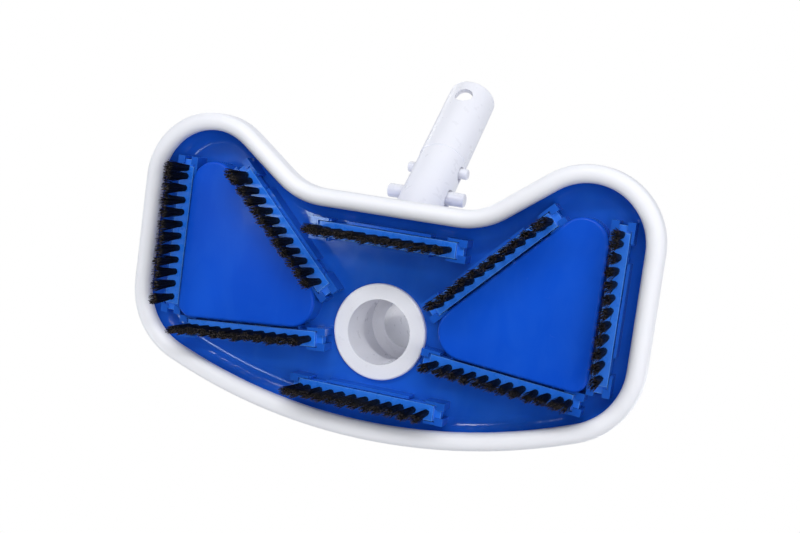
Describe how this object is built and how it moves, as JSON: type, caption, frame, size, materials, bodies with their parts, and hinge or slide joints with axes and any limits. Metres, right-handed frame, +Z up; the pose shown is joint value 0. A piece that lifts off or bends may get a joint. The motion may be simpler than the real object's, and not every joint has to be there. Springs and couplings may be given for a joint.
{
  "type": "manual pool vacuum head",
  "caption": "Weighted see-through pool floor vacuum head with bristle strips, a soft bumper, a swivelling hose tail and a tilting pole socket with a squeeze clip.",
  "frame": {"origin": "centre of the suction mouth, in the collar's lower face", "axes": "+Z up through the hose tail, +Y towards the pole side, +X towards the left of whoever holds the pole"},
  "size_m": [0.2922, 0.2019, 0.1538],
  "materials": {
    "shell_plastic": "glossy see-through blue",
    "cover_plastic": "glossy blue, very smooth",
    "bar_plastic": "satin blue",
    "bristle_nylon": "matt black filaments with frayed tips",
    "bumper_vinyl": "soft satin white",
    "white_plastic": "satin white",
    "clip_plastic": "satin white",
    "washer_plastic": "smooth, pale",
    "seal_rubber": "matt black",
    "pin_steel": "stainless",
    "weight_iron": "rough dark grey"
  },
  "bodies": {
    "head": {"shell": "shell_plastic", "bumper": "bumper_vinyl", "brush_bar_rear": "bar_plastic", "brush_bar_front": "bar_plastic", "brush_bar_left_outer": "bar_plastic", "brush_bar_left_diagonal": "bar_plastic", "brush_bar_left_lower": "bar_plastic", "brush_bar_right_outer": "bar_plastic", "brush_bar_right_diagonal": "bar_plastic", "brush_bar_right_lower": "bar_plastic", "bristles_rear": "bristle_nylon", "bristles_front": "bristle_nylon", "bristles_left_outer": "bristle_nylon", "bristles_left_diagonal": "bristle_nylon", "bristles_left_lower": "bristle_nylon", "bristles_right_outer": "bristle_nylon", "bristles_right_diagonal": "bristle_nylon", "bristles_right_lower": "bristle_nylon", "weight_cover_left": "cover_plastic", "weight_cover_right": "cover_plastic", "weight_left": "weight_iron", "weight_right": "weight_iron", "suction_collar": "white_plastic", "swivel_washer": "washer_plastic", "swivel_o_ring": "seal_rubber", "hinge_pin": "pin_steel", "hinge_pin_clip": "pin_steel"},
    "hose_tail": {"hose_swivel": "white_plastic"},
    "handle": {"handle": "white_plastic", "clip_bridge": "clip_plastic"},
    "left_clip_arm": {"clip_arm_left": "clip_plastic"},
    "right_clip_arm": {"clip_arm_right": "clip_plastic"}
  },
  "joints": [
    {"name": "handle_tilt", "type": "hinge", "parent": "head", "child": "handle", "pos_m": [0, 0.0454, 0.0188], "axis": [1, 0, 0], "range_deg": [-37, 40]},
    {"name": "hose_swivel_turn", "type": "hinge", "parent": "head", "child": "hose_tail", "pos_m": [0, 0, 0.05], "axis": [0, 0, 1], "continuous": true},
    {"name": "left_clip_squeeze", "type": "hinge", "parent": "handle", "child": "left_clip_arm", "pos_m": [0.004, 0.11029, 0.08839], "axis": [0, 0.7314, -0.682], "range_deg": [0, 7.5], "stiffness_Nm_per_rad": 4},
    {"name": "right_clip_squeeze", "type": "hinge", "parent": "handle", "child": "right_clip_arm", "pos_m": [-0.004, 0.11029, 0.08839], "axis": [0, -0.7314, 0.682], "range_deg": [0, 7.5], "stiffness_Nm_per_rad": 4}
  ]
}
